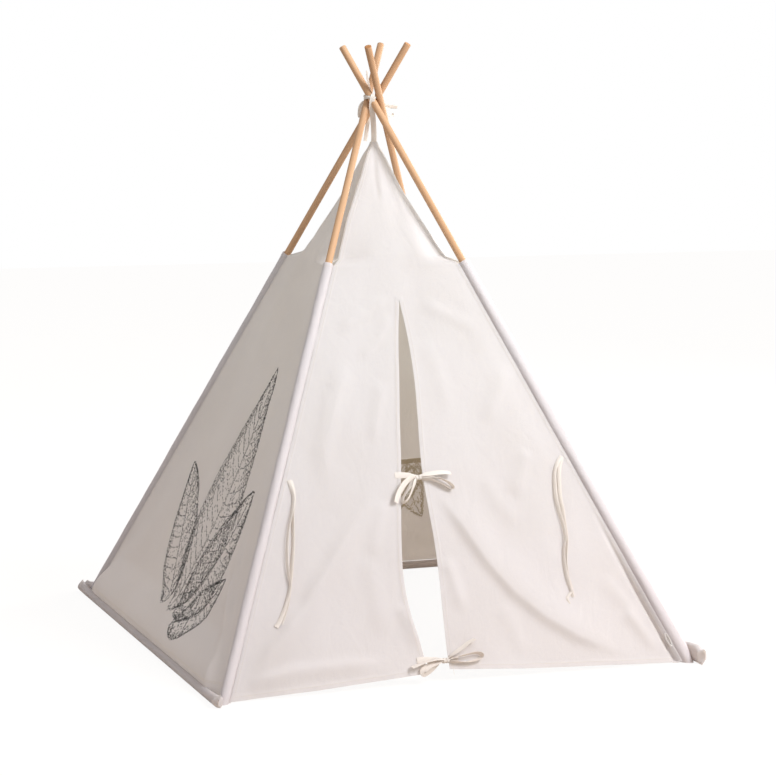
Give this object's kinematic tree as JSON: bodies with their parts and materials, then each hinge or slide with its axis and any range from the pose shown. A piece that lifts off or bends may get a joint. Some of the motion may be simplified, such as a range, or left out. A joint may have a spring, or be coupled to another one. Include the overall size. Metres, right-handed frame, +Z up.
{
  "type": "play teepee",
  "caption": "Kids' play teepee: wooden poles lashed near their tops, a cotton cover with corner sleeves, rods in its hems and a door of two tied flaps.",
  "frame": {"origin": "middle of the footprint, on the floor", "axes": "+Z up along the teepee's axis; -Y towards the door; +X to the right of someone who faces the door from outside"},
  "size_m": [1.2648, 1.36, 1.5158],
  "materials": {
    "cotton": "matt cotton canvas, off-white",
    "tape_cotton": "matt cotton twill tape, off-white",
    "beech": "sanded, unvarnished",
    "aluminium": "plain",
    "tag_cotton": "plain woven tape, no text"
  },
  "bodies": {
    "cover": {"lashing_tape": "tape_cotton", "lashing_bow": "tape_cotton", "peak_tape": "tape_cotton", "front_panel": "cotton", "right_panel": "cotton", "back_panel": "cotton", "left_panel": "cotton", "front_panel_top": "cotton", "right_panel_top": "cotton", "back_panel_top": "cotton", "left_panel_top": "cotton", "hem_casing_right": "cotton", "hem_casing_back": "cotton", "hem_casing_left": "cotton", "hem_rod_right_a": "beech", "hem_rod_right_b": "beech", "hem_rod_back_a": "beech", "hem_rod_back_b": "beech", "hem_rod_left_a": "beech", "hem_rod_left_b": "beech", "tie_back_left_a": "tape_cotton", "tie_back_left_b": "tape_cotton", "tie_back_right_a": "tape_cotton", "tie_back_right_b": "tape_cotton", "tag": "tag_cotton"},
    "pole_front_left": {"pole_upper_front_left": "beech", "pole_lower_front_left": "beech", "ferrule_front_left": "aluminium", "sleeve_front_left": "cotton"},
    "pole_front_right": {"pole_upper_front_right": "beech", "pole_lower_front_right": "beech", "ferrule_front_right": "aluminium", "sleeve_front_right": "cotton"},
    "pole_rear_right": {"pole_upper_rear_right": "beech", "pole_lower_rear_right": "beech", "ferrule_rear_right": "aluminium", "sleeve_rear_right": "cotton"},
    "pole_rear_left": {"pole_upper_rear_left": "beech", "pole_lower_rear_left": "beech", "ferrule_rear_left": "aluminium", "sleeve_rear_left": "cotton"},
    "flap_left": {"door_flap_left": "cotton", "upper_tie_left": "tape_cotton", "lower_tie_left": "tape_cotton"},
    "flap_right": {"door_flap_right": "cotton", "upper_tie_right": "tape_cotton", "lower_tie_right": "tape_cotton"}
  },
  "joints": [
    {"name": "pole_front_left_fold", "type": "hinge", "parent": "cover", "child": "pole_front_left", "pos_m": [0, 0, 1.3824], "axis": [0.7423, -0.6701, 0], "range_deg": [0, 27], "deforming": ["front_panel_top", "right_panel_top", "back_panel_top", "left_panel_top", "peak_tape"]},
    {"name": "pole_front_right_fold", "type": "hinge", "parent": "cover", "child": "pole_front_right", "pos_m": [0, 0, 1.3824], "axis": [0.7165, 0.6975, 0], "range_deg": [0, 27], "deforming": ["front_panel_top", "right_panel_top", "back_panel_top", "left_panel_top", "peak_tape"]},
    {"name": "pole_rear_right_fold", "type": "hinge", "parent": "cover", "child": "pole_rear_right", "pos_m": [0, 0, 1.3824], "axis": [-0.7423, 0.6701, 0], "range_deg": [0, 27], "deforming": ["front_panel_top", "right_panel_top", "back_panel_top", "left_panel_top", "peak_tape"]},
    {"name": "pole_rear_left_fold", "type": "hinge", "parent": "cover", "child": "pole_rear_left", "pos_m": [0, 0, 1.3824], "axis": [-0.7165, -0.6975, 0], "range_deg": [0, 27], "deforming": ["front_panel_top", "right_panel_top", "back_panel_top", "left_panel_top", "peak_tape"]},
    {"name": "flap_left_open", "type": "hinge", "parent": "cover", "child": "flap_left", "pos_m": [-0.34455, -0.63682, 0.01067], "axis": [-0.3236, -0.3975, -0.8586], "range_deg": [0, 135]},
    {"name": "flap_right_open", "type": "hinge", "parent": "cover", "child": "flap_right", "pos_m": [0.34455, -0.63682, 0.01067], "axis": [-0.3513, 0.3933, 0.8496], "range_deg": [0, 135]}
  ],
  "couplings": [
    {"joint": "pole_front_right_fold", "follows": "pole_front_left_fold", "ratio": 1},
    {"joint": "pole_rear_right_fold", "follows": "pole_front_left_fold", "ratio": 1},
    {"joint": "pole_rear_left_fold", "follows": "pole_front_left_fold", "ratio": 1}
  ]
}
